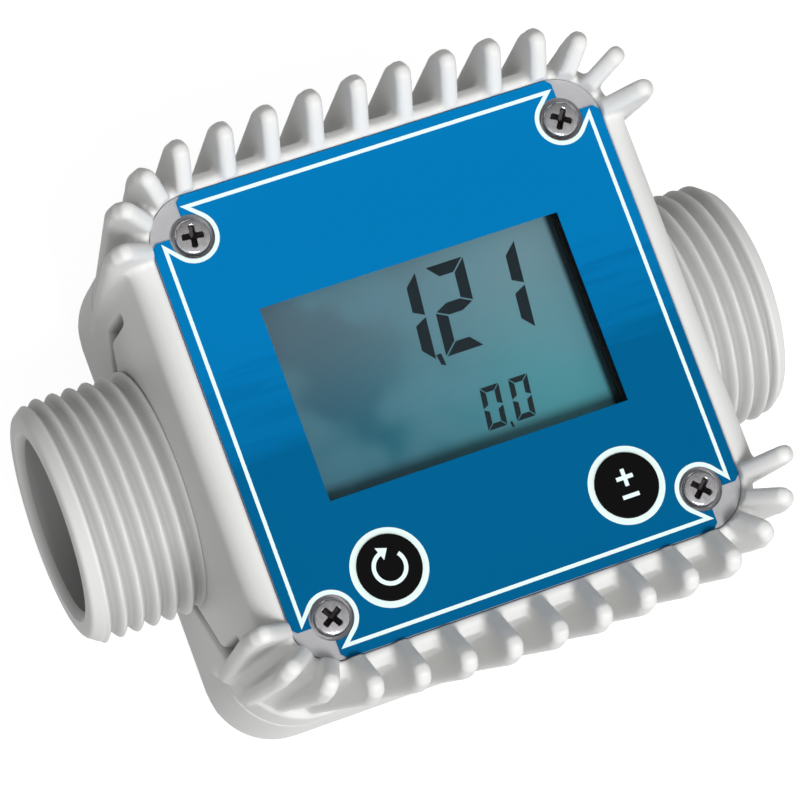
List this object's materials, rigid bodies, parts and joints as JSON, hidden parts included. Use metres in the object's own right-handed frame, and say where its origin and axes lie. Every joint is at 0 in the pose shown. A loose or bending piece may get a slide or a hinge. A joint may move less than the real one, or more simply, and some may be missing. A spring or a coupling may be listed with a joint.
{
  "type": "turbine flow meter",
  "caption": "In-line digital turbine flow meter: finned light nylon housing on a pipe with male threads each end, square blue front with display window and round keys.",
  "frame": {"origin": "centre of the flat back face of the rear cover, which the meter rests on; the pipe axis is 28 mm above it", "axes": "+X along the pipe from inlet to outlet, +Y up the display's face, +Z out of the display"},
  "size_m": [0.1, 0.0774, 0.0644],
  "materials": {
    "light_nylon": "fine moulded grain, satin",
    "clear_plate": "clear moulded, glossy",
    "printed_film": "printed polyester film, blue with white lines",
    "bright_steel": "bright plated",
    "seal_rubber": "matte",
    "display_glass": "grey-green liquid crystal cell",
    "black_plastic": "moulded matte",
    "board_laminate": "solder resist",
    "chip_resin": "matte resin",
    "key_black": "smooth, slightly glossy",
    "switch_body": "moulded",
    "cell_sleeve": "plain printed sleeve",
    "contact_metal": "nickel plated",
    "clear_glass": "clear",
    "white_acetal": "smooth moulded",
    "spring_steel": "bright",
    "bush_bronze": "sintered, matte",
    "rotor_plastic": "smooth moulded",
    "shaft_steel": "polished",
    "magnet": "nickel plated"
  },
  "bodies": {
    "housing": {"main_body": "light_nylon", "flow_tube": "light_nylon", "rear_cover": "light_nylon", "cover_plate": "clear_plate", "printed_film": "printed_film", "cover_screws": "bright_steel", "rear_screws": "bright_steel", "rear_gasket": "seal_rubber", "front_seal": "seal_rubber", "contact_strips": "seal_rubber", "lcd_glass": "display_glass", "lcd_frame": "black_plastic", "battery_tray_1": "black_plastic", "battery_tray_2": "black_plastic", "circuit_board": "board_laminate", "controller_chip": "chip_resin", "reset_switch": "switch_body", "cal_switch": "switch_body", "battery_1": "cell_sleeve", "battery_2": "cell_sleeve", "battery_contacts": "contact_metal", "reed_sensor": "clear_glass", "inlet_straightener": "white_acetal", "outlet_straightener": "white_acetal", "inlet_retaining_ring": "spring_steel", "outlet_retaining_ring": "spring_steel", "inlet_bush": "bush_bronze", "outlet_bush": "bush_bronze"},
    "turbine": {"rotor": "rotor_plastic", "rotor_shaft": "shaft_steel", "rotor_magnets": "magnet"},
    "reset_key": {"reset_button": "key_black"},
    "cal_key": {"cal_button": "key_black"}
  },
  "joints": [
    {"name": "turbine_spin", "type": "hinge", "parent": "housing", "child": "turbine", "pos_m": [0, 0, 0.028], "axis": [1, 0, 0], "continuous": true},
    {"name": "reset_press", "type": "slide", "parent": "housing", "child": "reset_key", "axis": [0, 0, -1], "range_m": [0, 0.0004], "stiffness_N_per_m": 1500},
    {"name": "cal_press", "type": "slide", "parent": "housing", "child": "cal_key", "axis": [0, 0, -1], "range_m": [0, 0.0004], "stiffness_N_per_m": 1500}
  ]
}
